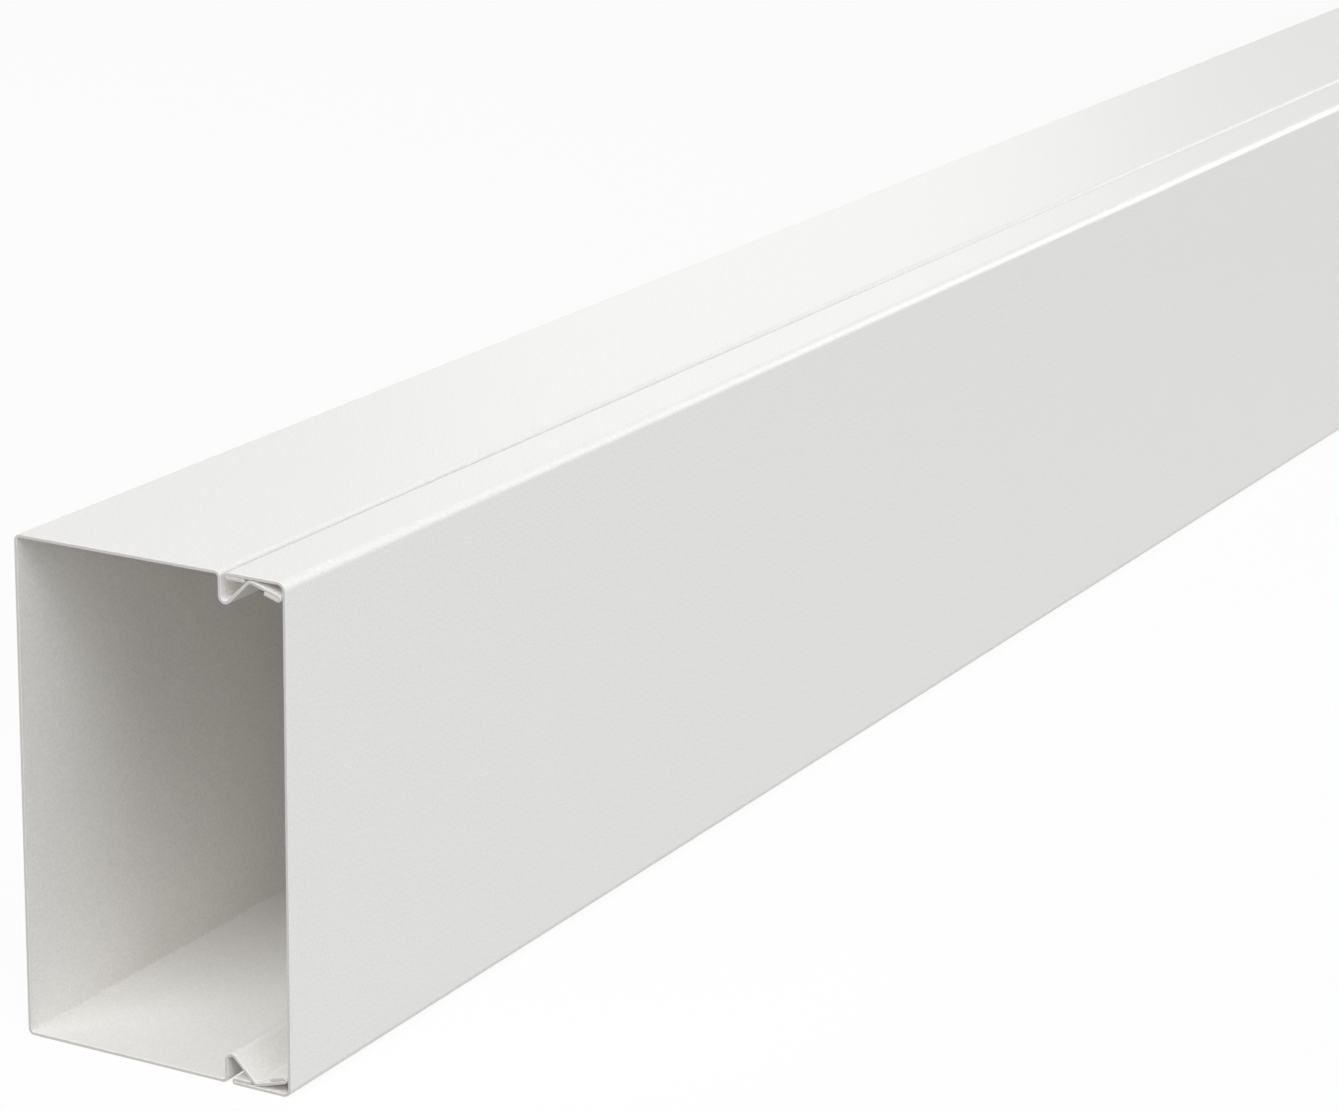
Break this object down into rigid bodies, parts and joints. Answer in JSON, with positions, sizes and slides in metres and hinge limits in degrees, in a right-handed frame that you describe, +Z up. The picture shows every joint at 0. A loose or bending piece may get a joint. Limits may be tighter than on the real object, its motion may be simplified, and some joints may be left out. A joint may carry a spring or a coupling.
{
  "type": "cable trunking",
  "caption": "Rectangular sheet-steel cable trunking: folded base with sprung snap ledges and a slotted back, closed by a clip-on cover with hemmed legs.",
  "frame": {"origin": "under the middle of the trunking, on the floor that its narrow side stands on", "axes": "+X along the trunking, +Y from the cover's face to the back that goes against the wall, +Z up"},
  "size_m": [2, 0.06, 0.1],
  "materials": {
    "white_powder_coat": "white powder coat with a fine satin orange peel, and bare grey steel on the two sheared ends"
  },
  "bodies": {
    "base": {"trunking_base": "white_powder_coat"},
    "cover": {"trunking_cover": "white_powder_coat"}
  },
  "joints": [
    {"name": "cover_slide", "type": "slide", "parent": "base", "child": "cover", "axis": [1, 0, 0], "range_m": [-2, 2]}
  ]
}
